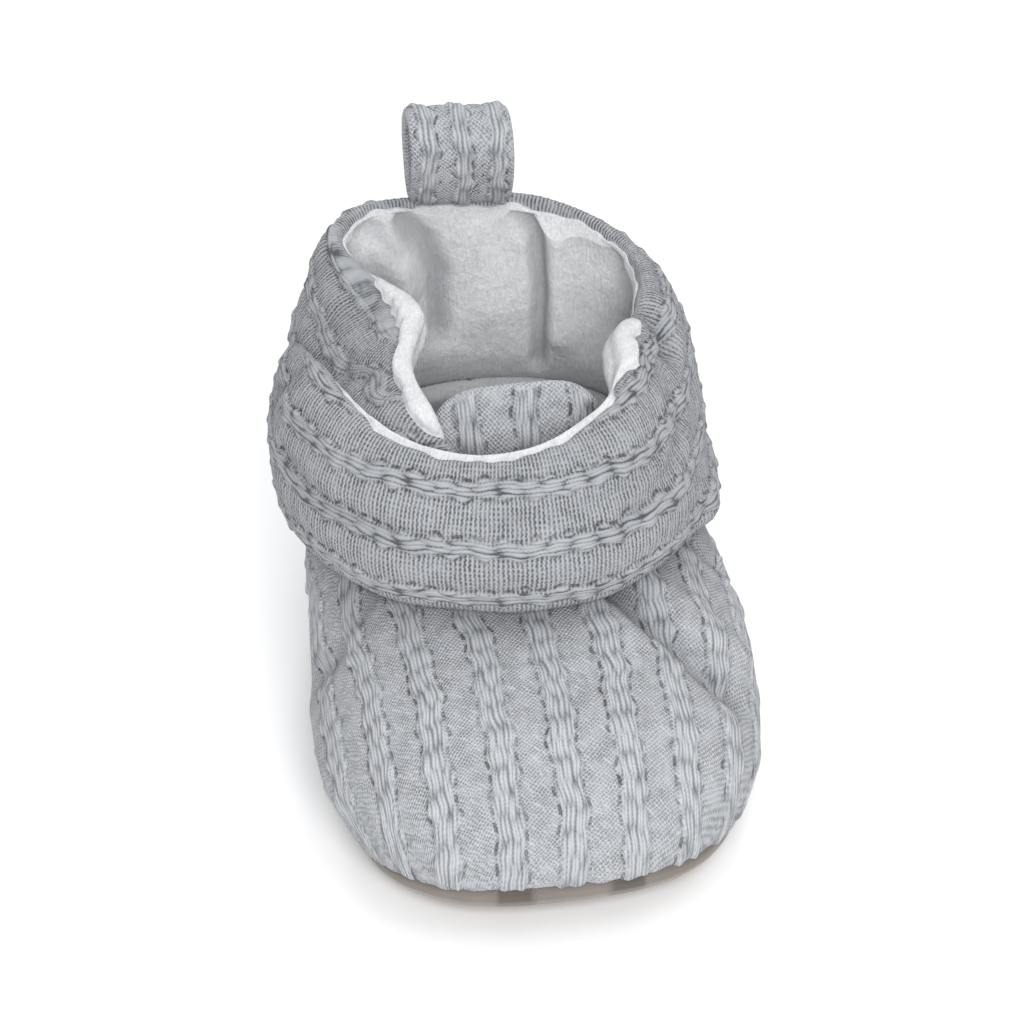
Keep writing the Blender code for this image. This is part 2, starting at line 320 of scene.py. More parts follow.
def ankle_plan(degrees):
    """The ankle oval seen from above, with 0 at the front and 90 at +X."""
    sine = np.sin(np.radians(degrees))
    cosine = np.cos(np.radians(degrees))
    squareness = np.where(cosine > 0, 1.0, ANKLE_BACK_SQUARENESS)
    x = ANKLE_HALF_WIDTH * np.sign(sine) * np.abs(sine) ** squareness
    y = ANKLE_CENTRE_Y - ANKLE_HALF_LENGTH * np.sign(cosine) * np.abs(cosine) ** squareness
    return flat(x, y)


def ankle_outward(degrees):
    """Unit vectors square to the ankle oval, seen from above."""
    return square_to(ankle_plan, degrees, 1.0)


UP = np.array((0.0, 0.0, 1.0))


def body_handles(degrees):
    """The four control points of the body's outer profile in these directions."""
    row = read_rows(BODY_ROWS, BODY_COLUMNS, signed(degrees))
    seam = seam_plan(degrees)
    seam[..., 2] = SEAM_HEIGHT + toe_lift(seam[..., 1])
    top = ankle_plan(degrees)
    front = np.maximum(0.0, np.cos(np.radians(degrees)))
    top[..., 2] = BODY_TOP_SIDE + (BODY_TOP_FRONT - BODY_TOP_SIDE) * front
    low = seam + scaled(seam_outward(degrees), row["low_out"]) + scaled(UP, row["low_up"])
    high = top + scaled(ankle_outward(degrees), row["high_out"]) + scaled(UP, row["high_up"])
    return seam, low, high, top


def body_point(degrees, share):
    """The body's outer surface: share is 0 at the sole seam and 1 at the top edge."""
    return cubic(body_handles(np.asarray(degrees, float)), share)


def wrap_handles(angles):
    """The four control points of the wrap's middle surface at these angles along it."""
    row = read_rows(WRAP_ROWS, WRAP_COLUMNS, angles)
    slump = read_rows(SLUMP_ROWS, SLUMP_COLUMNS, angles)
    place = ankle_plan(-np.asarray(angles, float))
    out = ankle_outward(-np.asarray(angles, float))
    low = row["bottom"] + WRAP_EDGE_TILT - slump["down"]
    tall = row["top"] - WRAP_EDGE_TILT - low
    base = place + scaled(out, WRAP_SETBACK + row["layer"]) + scaled(UP, low)
    belly = base + scaled(out, row["belly"] * 1.8) + scaled(UP, tall * 0.3)
    shoulder = base + scaled(out, row["belly"] * 0.9 - row["lean"] * 0.15) + scaled(UP, tall * 0.95)
    top = base - scaled(out, row["lean"]) + scaled(UP, tall)
    top_in = scaled(out, slump["top_in"])
    return base, belly - scaled(out, slump["middle_in"]), shoulder - top_in, top - top_in


def tongue_handles(share):
    """The four control points of the tongue's middle surface, with share from -1 to 1 across it."""
    angle = TONGUE_HALF_ANGLE * share
    place = ankle_plan(angle)
    out = ankle_outward(angle)
    back = np.array((0, TONGUE_LEAN, 0))
    root = TONGUE_ROOT_HEIGHT - TONGUE_ROOT_DROP * share**2
    tall = TONGUE_TOP - TONGUE_SIDE_DROP * np.abs(share) ** 4.5 - root
    lean = tall / (TONGUE_TOP - TONGUE_ROOT_HEIGHT) * (1 - TONGUE_SIDE_UPRIGHT * share**2)
    inside = place - out * TONGUE_SETBACK
    return (
        place + out * TONGUE_TUCK + scaled(UP, root),
        place - out * TONGUE_SETBACK * 1.8 + scaled(UP, root - 0.8 * MM),
        inside + scaled(back, lean * 0.3) + scaled(UP, root + 0.62 * tall),
        inside + scaled(back, lean) + scaled(UP, root + tall),
    )


def rim_point(degrees):
    """The middle of the wrap's top edge in these directions, a seam's gap above it."""
    row = read_rows(WRAP_ROWS, WRAP_COLUMNS, 360 - np.asarray(degrees, float))
    shift = WRAP_SETBACK + row["layer"] - row["lean"]
    rim = ankle_plan(degrees) + scaled(ankle_outward(degrees), shift)
    rim[..., 2] = row["top"] + GAP
    return rim


def round_steps(points, axis):
    """How the points change along an axis of their grid that closes on itself."""
    return np.roll(points, -1, axis) - np.roll(points, 1, axis)


def normals(points):
    """Unit normals of a grid of points, with rows going up and columns that close on themselves."""
    return unit(np.cross(round_steps(points, 1), np.gradient(points, axis=0)))


def lengths(points, axis):
    """The distance travelled along one axis of the grid, from zero."""
    steps = np.linalg.norm(np.diff(points, axis=axis), axis=-1)
    return np.insert(np.cumsum(steps, axis=axis), 0, 0.0, axis=axis)


def uneven(points, seed, count, shortest, longest, size):
    """Soft random shifts: a sum of plane waves with lengths between these. Sizes in millimetres."""
    draw = np.random.default_rng(seed)
    directions = unit(draw.normal(size=(count, 3)))
    spans = draw.uniform(shortest, longest, count) * MM
    phases = draw.uniform(0, 2 * math.pi, count)
    total = np.zeros(points.shape[:-1])
    for direction, span, phase in zip(directions, spans, phases):
        total += np.sin(points @ direction * (2 * math.pi / span) + phase)
    return total / math.sqrt(count) * size * MM


def nearness(points, line, width):
    """1 on a line of points, falling softly to 0 at about twice the width from it."""
    best = np.full(points.shape[:-1], 1e9)
    for a, b in zip(line[:-1], line[1:]):
        ab = b - a
        share = np.clip(((points - a) @ ab) / (ab @ ab), 0, 1)
        best = np.minimum(best, np.linalg.norm(points - (a + share[..., None] * ab), axis=-1))
    return bell(best, width)


def knit(across, along, pattern):
    """The knit at places given by their layout in millimetres, as a dictionary.

    pattern is a row such as BODY_KNIT. relief is the knit's height in millimetres and rib the share
    that is rib. dash is the beat of the small holes along a rib's edges, edge how far their line is
    and hole their strength. local is the distance from the rib's middle.
    """
    pitch, half_width, knot_step, hand = pattern
    turn = 2 * math.pi
    cell = np.round(across / pitch)
    wander = 0.17 * np.sin(turn * (along / 17.0 + cell * 0.37))
    wander += 0.07 * np.sin(turn * (along / 6.1 + cell * 0.71))
    off = (across - cell * pitch - wander) * hand
    right = off > 0
    phase = along / knot_step + cell * 0.31 + 0.5 * right + 0.18 * np.sin(cell * 2.1 + along / 9)
    nub = (0.5 + 0.5 * np.cos(turn * phase)) ** 3
    width = half_width - 0.15 + KNOT_WIDTH * nub + 0.1 * np.sin(turn * along / 3.7 + cell)
    rib = smooth((width - np.abs(off)) / 0.7 + 0.5)
    knot = nub * bell(np.abs(off) - half_width + 0.2, 0.5) * KNOT_HEIGHT
    dash = along / HOLE_STEP + cell * 0.43 + 0.2 * right + 0.25 * np.sin(along / 4.3 + cell)
    beat = (0.5 + 0.5 * np.cos(turn * dash)) ** 1.5
    edge = np.abs(off) - width - HOLE_OFFSET
    strength = 0.7 + 0.3 * np.sin(along / 2.9 + 1.5 * np.sin(along / 5.3) + cell * 1.7)
    hole = np.where(right, 0.75, 1.0) * strength
    pillow = PILLOW_HEIGHT * np.cos(turn * (off / pitch + 0.5))
    relief = RIB_HEIGHT * rib + knot - HOLE_DEPTH * beat * hole * bell(edge, 0.3) + pillow
    return {"relief": relief, "rib": rib, "dash": dash, "edge": edge, "hole": hole, "local": off}


def knit_facts(across, along, made, fade, shade):
    """The facts that the knit's material reads at each point."""
    return {
        "knit": np.stack((across, along, made["rib"] * fade), -1),
        # The second number of marks is the shade painted into folds and under the wrap.
        "marks": np.stack((made["local"], shade, fade), -1),
        "dashes": np.stack((made["dash"], made["edge"], made["hole"] * fade), -1),
    }


def grid_piece(name, points, facts, row_materials, materials, close_rows, close_columns, flip=False):
    """A mesh through a grid of points, with named facts of three numbers kept at each point."""
    rows, columns = points.shape[:2]
    index = np.arange(rows * columns).reshape(rows, columns)
    if close_rows:
        index = np.vstack((index, index[:1]))
    if close_columns:
        index = np.hstack((index, index[:, :1]))
    quads = np.stack((index[:-1, :-1], index[:-1, 1:], index[1:, 1:], index[1:, :-1]), axis=-1)
    if flip:
        quads = quads[..., ::-1]
    data = bpy.data.meshes.new(name)
    data.from_pydata(points.reshape(-1, 3).tolist(), [], quads.reshape(-1, 4).tolist())
    kinds = np.repeat(row_materials[: quads.shape[0]], quads.shape[1])
    data.polygons.foreach_set("material_index", kinds.astype(np.int32))
    data.shade_smooth()
    for key, values in facts.items():
        attribute = data.attributes.new(key, "FLOAT_VECTOR", "POINT")
        attribute.data.foreach_set("vector", values.astype(np.float32).reshape(-1))
    for material in materials:
        data.materials.append(material)
    return add_object(name, data)


def add_object(name, data):
    """A new object in the scene."""
    made = bpy.data.objects.new(name, data)
    bpy.context.scene.collection.objects.link(made)
    return made


def close_grid(piece, index):
    """Close the open first and last rings of a grid with a face each. index has a ring in each row."""
    mesh = bmesh.new()
    mesh.from_mesh(piece.data)
    mesh.verts.ensure_lookup_table()
    for ring in (index[0][::-1], index[-1]):
        mesh.faces.new([mesh.verts[i] for i in ring.tolist()]).smooth = True
    bmesh.ops.recalc_face_normals(mesh, faces=mesh.faces)
    mesh.to_mesh(piece.data)
    mesh.free()


def settle(piece, slot, *nodes):
    """Let the piece ride on the one body and stand for its CAD nodes."""
    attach(piece, "root")
    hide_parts(*nodes)
    return piece


def band_piece(name, points, facts, materials, steps, flip, node_name):
    """A band's closed mesh: knit up to its border, then the lining over the edge and down."""
    kinds = np.full(len(points), KNIT)
    kinds[steps[0] - 1 : len(points) - 3] = LINING
    piece = grid_piece(name, points, facts, kinds, materials, True, False, flip)
    close_grid(piece, np.arange(points[..., 0].size).reshape(points.shape[:2]).T)
    return settle(piece, "grey_knit", node_name)


def disc_piece(name, points, marks, material, slot, node_name):
    """A closed mesh of one material whose rows run outwards over one face and back over the other."""
    kinds = np.zeros(len(points))
    piece = grid_piece(name, points, {"marks": marks}, kinds, (material,), False, True)
    close_grid(piece, np.arange(points[..., 0].size).reshape(points.shape[:2]))
    return settle(piece, slot, node_name)


# Creases of the body, a row for each: places as direction and share of the height, depth
# in millimetres (a ridge is negative) and half width in millimetres.
BODY_CREASES = (
    (((22, 1.0), (24, 0.88), (27, 0.77), (30, 0.66), (33.5, 0.55), (37, 0.45)), 2.3, 2.2),
    (((14, 1.0), (19, 0.84), (27, 0.7)), -0.8, 2.8),
    (((32, 1.0), (35, 0.85), (39, 0.7), (44, 0.55)), -1.5, 3.2),
    (((58, 1.0), (62, 0.8), (70, 0.62)), 1.0, 2.0),
    (((-56, 0.62), (-62, 0.52), (-68, 0.42)), 1.6, 2.8),
    (((-44, 0.24), (-56, 0.26), (-70, 0.26)), -1.5, 5.5),
    (((-48, 0.98), (-50, 0.8)), 0.8, 2.2),
    (((-10, 1.0), (-9, 0.93)), 0.5, 3.0),
    (((10, 1.0), (12, 0.93)), 0.5, 3.0),
    (((112, 0.75), (122, 0.5)), 0.9, 2.6),
    (((-112, 0.75), (-124, 0.5)), 0.9, 2.6),
    (((150, 0.85), (160, 0.55)), 0.7, 2.4),
    (((-148, 0.8), (-158, 0.5)), 0.7, 2.4),
)


def body_creases(points):
    """How deep the creases press the body in, in metres, and how much shade is painted in them."""
    depth = np.zeros(points.shape[:2])
    shade = np.zeros(points.shape[:2])
    for places, deep, width in BODY_CREASES:
        line = body_point([p[0] for p in places], [p[1] for p in places])
        near = nearness(points, line, width * MM)
        depth += near * deep * MM
        shade += near * max(0.0, deep) * KNIT_FOLD_SHADE
    return depth, shade


def body_layout(degrees, points):
    """Where each point of the body lies in its knit: across the ribs and along them, in millimetres.

    On the vamp the ribs keep their distance from the crown line, and the places along them start
    at the toe. Behind the widest place they go on round the heel.
    """
    crown = body_point(np.zeros(200), np.linspace(0, 1, 200))
    order = np.argsort(crown[:, 1])
    crown_z = np.interp(points[..., 1], crown[order, 1], crown[order, 2])
    out = seam_outward(degrees)
    ahead = out[..., 1] < 0
    side = np.where(ahead, out[..., 0] ** 2, 1.0)
    widest = points[:, [degrees.size // 4]]
    back = smooth((points[..., 1] + 8 * MM) / (14 * MM))
    x = np.abs(points[..., 0]) * (1 - back) + widest[..., 0] * back
    drop = np.maximum(0.0, crown_z - points[..., 2]) * side
    across = (x**1.6 + drop**1.6) ** 0.625
    across = np.sign(points[..., 0]) * across / MM
    across += 1.1 * smooth((points[..., 1] + 30 * MM) / (18 * MM)) * (1 - back)
    front = np.maximum(0.0, -15 * MM - points[..., 1])
    nose = np.maximum(0.0, BODY_TOP_FRONT - points[..., 2]) * np.where(ahead, out[..., 1] ** 2, 0.0)
    along = (front**1.6 + (nose * smooth(front / (20 * MM))) ** 1.6) ** 0.625
    steps = np.linalg.norm(np.diff(points[..., :2], axis=1, append=points[:, :1, :2]), axis=-1)
    behind = np.abs(signed(degrees)) > 90
    rearward = np.where(behind, steps, 0.0)
    half = degrees.size // 2
    run = np.zeros(points.shape[:2])
    run[:, :half] = np.cumsum(rearward[:, :half], axis=1)
    run[:, half:] = np.cumsum(rearward[:, half:][:, ::-1], axis=1)[:, ::-1]
    middle = np.where(behind, widest[..., 1], np.maximum(-15 * MM, points[..., 1])) + 15 * MM
    return across, (along - middle - run) / MM


def round_cap(first, second, rise):
    """Rows of a rounded edge from one border to the other."""
    middle, half = (first + second) / 2, (first - second) / 2
    turns = [math.pi * k / CAP_STEPS for k in range(1, CAP_STEPS)]
    return np.array([middle + half * math.cos(a) + rise * math.sin(a) for a in turns])


def body_push(outer, height, relief):
    """How far the body's outer points move outwards, and the painted shade of folds and under the
    wrap.
    """
    above_edge = smooth(height / (1.6 * MM))
    push = relief + SEAM_SWELL * bell(height - 3.4 * MM, 2.2 * MM)
    push -= SEAM_GROOVE * bell(height, 1.0 * MM)
    pucker = SEAM_PUCKER * np.cos(2 * math.pi * lengths(outer, 1) / SEAM_PUCKER_STEP)
    push += pucker * bell(height - 1.8 * MM, 1.6 * MM)
    push += uneven(outer, 3, 14, 14, 34, 0.26) * above_edge
    push += uneven(outer, 5, 20, 4, 8, 0.05) * above_edge
    heel_seam = bell(outer[..., 0], HEEL_SEAM_WIDTH) * (outer[..., 1] > 0)
    push -= HEEL_SEAM_DEPTH * heel_seam * above_edge
    depth, shade = body_creases(outer)
    # A painted shadow under the wrap's lower edge, fading out over UNDER_WRAP_REACH below the top.
    shade += UNDER_WRAP_SHADE * (1 - smooth((height[-1:] - height) / UNDER_WRAP_REACH))
    return push - depth, shade


def make_body(knit_cloth, lining):
    """The lower body: ribbed knit outside, a rolled top edge and the brushed lining inside."""
    degrees = np.arange(BODY_AROUND) * 360 / BODY_AROUND
    handles = body_handles(degrees)
    outer = curve_grid(handles, np.linspace(0, 1, BODY_UP)[:, None])
    height = lengths(outer, 0)
    across, along = body_layout(degrees, outer)
    made = knit(across, along, BODY_KNIT)
    sideways = smooth((np.abs(signed(degrees)) - 50) / 25)
    above_seam = 1 - sideways[None] * (1 - smooth((height / MM - 3.0) / 3.5))
    for key in ("relief", "rib", "hole"):
        made[key] = made[key] * above_seam
    fade = smooth(height / (1.6 * MM)) * smooth((height[-1:] - height) / (2.0 * MM))
    push, shade = body_push(outer, height, made["relief"] * MM * fade)
    outside = outer + scaled(normals(outer), push)

    inner_base = curve_grid(handles, np.linspace(1, 0, LINING_STEPS)[:, None])
    inward = -normals(inner_base)
    inner = inner_base - inward * BODY_WALL
    inner += scaled(inward, uneven(inner, 8, 12, 9, 22, 0.2))

    top_cap = round_cap(outside[-1], inner[0], UP * 1.5 * MM)
    bottom_cap = round_cap(inner[-1], outside[0], UP * -0.35 * MM)
    points = np.concatenate((outside, top_cap, inner, bottom_cap))
    facts = knit_facts(across, along, made, fade, shade)
    for key, values in facts.items():
        tail = np.repeat(values[-1:], len(points) - BODY_UP, 0)
        tail[..., 1 if key == "marks" else 2] = 0.0
        facts[key] = np.concatenate((values, tail))
    kinds = np.full(len(points), KNIT)
    kinds[BODY_UP + 2 : len(points) - 4] = LINING
    piece = grid_piece("body_knit", points, facts, kinds, (knit_cloth, lining), True, True)
    return settle(piece, "grey_knit", "upper")


def band_run(handles, at_row, thickness):
    """A band's height, run, distance from its ends and share of its thickness, at each place along it.

    The run is measured at one row of the samples. The distance from its ends is in half thicknesses,
    and its thickness falls to nearly nothing on a round there.
    """
    samples = curve_grid(handles, np.linspace(0, 1, BAND_SAMPLES)[:, None])
    run = lengths(samples[at_row][:, None], 0)[:, 0]
    reach = np.minimum(run, run[-1] - run) / (thickness / 2)
    round_end = np.sqrt(np.clip(1 - (1 - np.minimum(1, reach)) ** 2, 0.004, 1))
    return lengths(samples, 0)[-1], run, reach, round_end


def band(handles, tall, half, border, steps, flip):
    """The smooth form of a padded band: points, normals, side, height and distance past the border.

    handles are the middle surface's control points, tall its height and half its half thickness at
    each place along it. border is where the knit ends, as a distance from the outer end of the top
    edge's turn: below zero on the outer face and above zero on the turn. side is 1 on the outer
    face, -1 on the lining and between them on the edges.
    """
    knit_rows, edge_rows, lining_rows, foot_rows = steps
    face = tall - 2 * half
    turn_length = math.pi * half
    knit_end = face + border
    edge = face + turn_length - knit_end
    reach = [knit_end * share for share in np.linspace(0, 1, knit_rows)]
    reach += [knit_end + edge * k / edge_rows for k in range(1, edge_rows + 1)]
    back = [face * share for share in np.linspace(1, 0, lining_rows)[1:]]
    heights, offsets, past = [], [], []
    for q in reach:
        turn = np.clip((q - face) / half, 0, math.pi)
        heights.append(np.where(q < face, half + q, tall - half + half * np.sin(turn)))
        offsets.append(np.where(q < face, half, half * np.cos(turn)))
        past.append(q - knit_end)
    for q in back:
        heights.append(half + q)
        offsets.append(-half)
        past.append(edge + face - q)
    for k in range(1, foot_rows):
        turn = math.pi * k / foot_rows
        heights.append(half - half * math.sin(turn))
        offsets.append(-half * math.cos(turn))
        past.append(past[-1])
    height, offset, past = np.array(heights), np.array(offsets), np.array(past)
    share_up = height / tall
    middle = curve_grid(handles, share_up)
    above = curve_grid(handles, np.minimum(1, share_up + 0.004))
    below = curve_grid(handles, np.maximum(0, share_up - 0.004))
    facing = unit(np.cross(np.gradient(middle, axis=1), above - below))
    if flip:
        facing = -facing
    return middle + scaled(facing, offset), facing, offset / half, height, past


def on_side(side):
    """1 on the band's face where side is 1, and 0 from near its edges on."""
    return smooth(side * 2 - 0.3)


def pushed(base, facing, side, push):
    """The band's points moved outwards from its middle on both faces."""
    return base + scaled(facing, push * np.where(side < 0, -1.0, 1.0))


# Creases of the wrap: places as angle along the band and share of its height, which side
# (1 outside, -1 the lining), depth in millimetres (a ridge is negative) and half width.
WRAP_CREASES = (
    (((276, 1.0), (279, 0.9), (284, 0.78)), 1, 2.4, 1.7),
    (((264, 0.05), (280, 0.02), (292, 0.06)), 1, -2.6, 4.2),
    (((318, 0.62), (335, 0.6), (352, 0.62), (370, 0.64)), 1, 0.7, 1.8),
    (((300, 0.56), (318, 0.5), (336, 0.47)), 1, 1.1, 2.2),
    (((268, 0.9), (284, 0.7), (300, 0.5)), 1, -0.9, 3.2),
    (((60, 0.95), (72, 0.8), (84, 0.7)), 1, 0.9, 2.2),
    (((95, 0.9), (105, 0.7)), 1, 1.0, 2.4),
    (((120, 0.85), (130, 0.6)), 1, 0.8, 2.6),
    (((205, 0.8), (215, 0.5)), 1, 0.8, 2.6),
    (((240, 0.75), (250, 0.45)), 1, 0.9, 2.6),
    (((400, 0.5), (420, 0.44), (440, 0.46)), 1, 0.9, 2.2),
    (((448, 0.9), (456, 0.6)), 1, 0.8, 2.2),
    (((160, 0.84), (168, 0.7), (172, 0.54), (172, 0.3)), -1, 3.2, 1.8),
    (((155, 0.74), (159, 0.5)), -1, -3.2, 3.0),
    (((140, 0.95), (150, 0.82), (156, 0.7)), -1, 1.6, 1.6),
    (((181, 0.75), (184, 0.4)), -1, -1.8, 4.5),
    (((193, 0.9), (199, 0.76), (201, 0.5), (200, 0.15)), -1, 3.0, 1.3),
    (((194, 0.7), (195, 0.4)), -1, -1.0, 2.0),
    (((207, 0.85), (209, 0.3)), -1, -2.6, 2.8),
    (((236, 0.85), (241, 0.4)), -1, 1.8, 2.2),
    (((125, 0.85), (130, 0.45)), -1, 1.8, 2.4),
)


def wrap_creases(base, angles, side):
    """How deep the creases press the wrap in, in metres, and how much shade is painted in them."""
    depth = np.zeros(base.shape[:2])
    shade = np.zeros(base.shape[:2])
    for places, facing, deep, width in WRAP_CREASES:
        along = np.array([p[0] for p in places], float)
        line = cubic(wrap_handles(along), [p[1] for p in places])
        line = line + ankle_outward(-along) * facing * WRAP_THICKNESS / 2
        same_layer = np.abs(angles - along[0]) < 90
        near = nearness(base, line, width * MM) * on_side(side * facing) * same_layer[None]
        depth += near * deep * MM
        shade += near * max(0.0, deep) * (KNIT_FOLD_SHADE if facing > 0 else LINING_FOLD_SHADE)
    return depth, shade


def ribs_at(height, places, pitch):
    """Height across the band turned into rib units, with whole multiples of the pitch on the ribs."""
    marks = (np.arange(len(places)) + 1) * pitch
    edges = np.concatenate(((places[0] - pitch,), places, (places[-1] + pitch,)))
    values = np.concatenate(((marks[0] - pitch,), marks, (marks[-1] + pitch,)))
    return np.interp(height, edges, values)


def wrap_layout(angles, run, height, flap):
    """Where each point of the wrap lies in its knit, in millimetres. The ribs slant on the flap."""
    along = np.repeat(run[None] / MM, len(height), 0)
    slant = flap * smooth((95 - angles) / 25)
    across = ribs_at(height / MM, WRAP_RIBS, WRAP_KNIT[0])
    across += 1.5 * slant[None] * np.sin(along / 2.9 + height / MM / 3.5)
    return across, along


def wrap_puckers(along, height, rib):
    """Fine puckers that cross the wrap between its ribs, in millimetres."""
    place = along / 1.35 + 0.35 * np.sin(along / 2.7) + 0.2 * np.sin(height / MM * 0.9)
    strong = 0.5 + 0.5 * np.sin(along / 4.9 + 1.3 * np.sin(along / 7.7))
    return 0.075 * np.cos(2 * math.pi * place) * (0.35 + 0.65 * strong) * (1 - rib)


def back_wall_lean(angles, side, height, share):
    """How far the lining of the back wall leans into the opening, and back at its top, in metres."""
    lean = 2.4 * smooth(height / (7 * MM)) * (1 - share) - 0.8 * smooth((share - 0.55) / 0.4)
    return lean * MM * stretch(angles, *BACK_WALL)[None] * on_side(-side)


def held(push, side):
    """The push with its inward part held in softly, so that no face goes through the other."""
    deepest = (0.3 + 2.7 * smooth((-side - 0.45) / 0.5)) * MM
    return np.where((side < 0) & (push < 0), -deepest * np.tanh(-push / deepest), push)


def make_wrap(knit_cloth, lining):
    """The ankle wrap: ribbed knit outside, a rolled edge and creased brushed lining inside."""
    angles = np.linspace(WRAP_ROWS[0][0], WRAP_ROWS[-1][0], WRAP_ALONG)
    handles = wrap_handles(angles)
    tall, run, reach, round_end = band_run(handles, BAND_SAMPLES // 2, WRAP_THICKNESS)
    flap = stretch(angles, *FLAP)
    roll = flap + stretch(angles, *CORNER) + STRAP_ROLL * stretch(angles, *STRAP)
    ruffle = 0.3 * np.sin(run / MM / 1.9) + 0.2 * np.sin(run / MM / 0.83 + 2 * np.sin(run / MM / 6))
    border = (KNIT_END - KNIT_END_ROLLED * roll + ruffle) * MM * np.minimum(1, round_end * 2)
    half = WRAP_THICKNESS / 2 * round_end
    base, facing, side, height, past = band(handles, tall, half, border, WRAP_STEPS, True)

    across, along = wrap_layout(angles, run, height, flap)
    made = knit(across, along, WRAP_KNIT)
    plain = 1 - 0.4 * flap[None] * smooth((height / MM - 25.5) / 2)
    made["relief"] -= RIB_HEIGHT * made["rib"] * (1 - plain)
    made["rib"] *= plain
    made["hole"] = made["hole"] * plain
    whole = smooth(reach)
    near_edges = smooth((tall - height) / (2.4 * MM)) * smooth(height / (1.6 * MM))
    fade = on_side(side) * smooth(reach / 0.8) * near_edges
    push = (made["relief"] + wrap_puckers(along, height, made["rib"])) * MM * fade
    push += uneven(base, 21, 14, 12, 30, 0.3) * on_side(side) * whole
    push += uneven(base, 22, 16, 10, 26, 0.32) * on_side(-side) * whole
    push += back_wall_lean(angles, side, height, height / tall)
    depth, shade = wrap_creases(base, angles, side)
    points = pushed(base, facing, side, held(push - depth, side))

    groove = bell(past, 0.45 * MM) * whole
    puff = smooth(past / (1.2 * MM)) * smooth((tall * 0.45 + 5 * MM - past) / (6 * MM)) * whole
    swell = (0.1 + ROLL_SWELL * roll) * puff - 0.5 * groove
    edge_facing = unit(scaled(facing, side) + scaled(UP, np.sqrt(np.clip(1 - side**2, 0, 1))))
    points += scaled(edge_facing, swell * MM)
    facts = knit_facts(across, along, made, fade, shade)
    cloths = (knit_cloth, lining)
    return band_piece("wrap_band", points, facts, cloths, WRAP_STEPS, True, "ankle_wrap")


def make_tongue(knit_cloth, lining):
    """The tongue: ribs carry on from the vamp, with the lining on its back."""
    handles = tongue_handles(np.linspace(-1, 1, TONGUE_ACROSS))
    tall, run, reach, round_end = band_run(handles, BAND_SAMPLES * 3 // 4, TONGUE_THICKNESS)
    border = TONGUE_KNIT_END * np.minimum(1, round_end * 2)
    half = TONGUE_THICKNESS / 2 * round_end
    base, facing, side, height, _ = band(handles, tall, half, border, TONGUE_STEPS, False)
    across = np.repeat((run - run[-1] / 2)[None] / MM, len(base), 0) - 1.2
    made = knit(across, height / MM, TONGUE_KNIT)
    fade = on_side(side) * smooth(reach / 0.8) * smooth((tall - height) / (1.5 * MM))
    push = made["relief"] * MM * fade
    push += uneven(base, 31, 12, 9, 20, 0.15) * smooth(reach)
    points = pushed(base, facing, side, push)
    facts = knit_facts(across, height / MM, made, fade, fade * 0)
    cloths = (knit_cloth, lining)
    return band_piece("tongue_knit", points, facts, cloths, TONGUE_STEPS, False, "tongue")


def loop_section():
    """Rows round the strap's cross-section: place across it, offset and side, 1 on its outer face."""
    half = LOOP_STRAP / 2
    straight = LOOP_WIDTH / 2 - half
    turns = [math.pi * k / CAP_STEPS for k in range(1, CAP_STEPS)]
    rows = [(share * straight, half, 1.0) for share in np.linspace(-1, 1, LOOP_ACROSS)]
    rows += [(straight + half * math.sin(a), half * math.cos(a), math.cos(a)) for a in turns]
    rows += [(share * straight, -half, -1.0) for share in np.linspace(1, -1, LOOP_ACROSS // 2)]
    rows += [(-straight - half * math.sin(a), -half * math.cos(a), -math.cos(a)) for a in turns]
    return np.array(rows).T[..., None]


def make_loop(knit_cloth):
    """The pull loop: a folded knit strap with three ribs, standing on the heel rim."""
    out = ankle_outward(np.array(float(LOOP_DIRECTION)))
    sideways = np.array((-out[1], out[0], 0.0))
    foot = rim_point(np.array(float(LOOP_DIRECTION)))
    half_share = LOOP_WIDTH / 2 / ANKLE_HALF_WIDTH
    half_angle = math.degrees(math.asin(half_share ** (1 / ANKLE_BACK_SQUARENESS)))
    rim_shares = np.linspace(-1, 1, 9)
    rim_heights = rim_point(LOOP_DIRECTION + half_angle * rim_shares)[..., 2]
    turn = 2 * math.pi * np.arange(LOOP_AROUND) / LOOP_AROUND
    rise = (1 - np.cos(turn)) / 2
    narrow = LOOP_FOOT_SHARE + (1 - LOOP_FOOT_SHARE) * rise
    depth = (LOOP_DEPTH - LOOP_STRAP) / 2 * np.sin(turn) * narrow
    height = LOOP_STRAP / 2 + (LOOP_HEIGHT - LOOP_STRAP) * rise
    ring = scaled(out, depth) + scaled(UP, height)
    ring_facing = unit(np.cross(round_steps(ring, 0), sideways))
    if (ring_facing * (ring - ring.mean(0))).sum() < 0:
        ring_facing = -ring_facing
    run = lengths(ring[:, None], 0)[:, 0]
    across, offset, side = loop_section()
    lift = np.interp(across / (LOOP_WIDTH / 2), rim_shares, rim_heights)
    base = foot * np.array((1, 1, 0)) + scaled(sideways, across) + ring[None] + scaled(UP, lift)
    along = np.repeat(run[None] / MM, len(across), 0)
    layout_across = np.repeat(across / MM, LOOP_AROUND, 1)
    made = knit(layout_across, along, LOOP_KNIT)
    fade = np.repeat(smooth((np.abs(side) - 0.2) / 0.8), LOOP_AROUND, 1)
    push = made["relief"] * 0.75 * MM * fade
    push += uneven(base, 41, 10, 6, 14, 0.12)
    points = base + scaled(ring_facing[None], offset + push * np.sign(side + 1e-9))
    facts = knit_facts(layout_across, along, made, fade, fade * 0)
    kinds = np.full(len(points), KNIT)
    piece = grid_piece("pull_loop_knit", points, facts, kinds, (knit_cloth,), True, True)
    return settle(piece, "grey_knit", "pull_loop")


